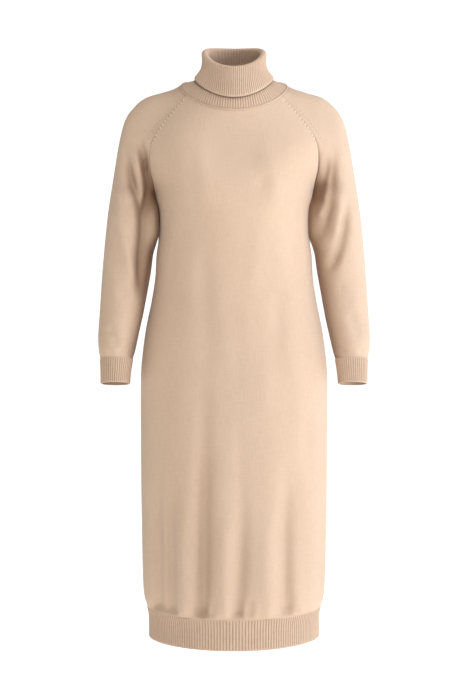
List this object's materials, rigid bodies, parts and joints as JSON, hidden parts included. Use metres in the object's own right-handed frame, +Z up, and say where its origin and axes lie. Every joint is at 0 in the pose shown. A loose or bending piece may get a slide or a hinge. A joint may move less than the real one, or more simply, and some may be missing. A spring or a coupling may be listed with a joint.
{
  "type": "sweater dress",
  "caption": "Long-sleeved knit midi dress, filled out as worn, with a folded rib turtleneck, raglan sleeves, rib cuffs and a rib hem.",
  "frame": {"origin": "middle of the neck base, level with the sides of the neck, where the shoulders carry the dress", "axes": "+Z up, -Y towards the front, +X towards the wearer's left arm"},
  "size_m": [0.564, 0.2664, 1.2466],
  "materials": {
    "plain_knit": "matte",
    "rib_knit": "matte"
  },
  "bodies": {
    "root": {"front_panel": "plain_knit", "back_panel": "plain_knit", "sleeve_left": "plain_knit", "sleeve_right": "plain_knit", "cuff_left": "rib_knit", "cuff_right": "rib_knit", "hem_rib_front": "rib_knit", "hem_rib_back": "rib_knit", "turtleneck_collar": "rib_knit"}
  },
  "joints": []
}
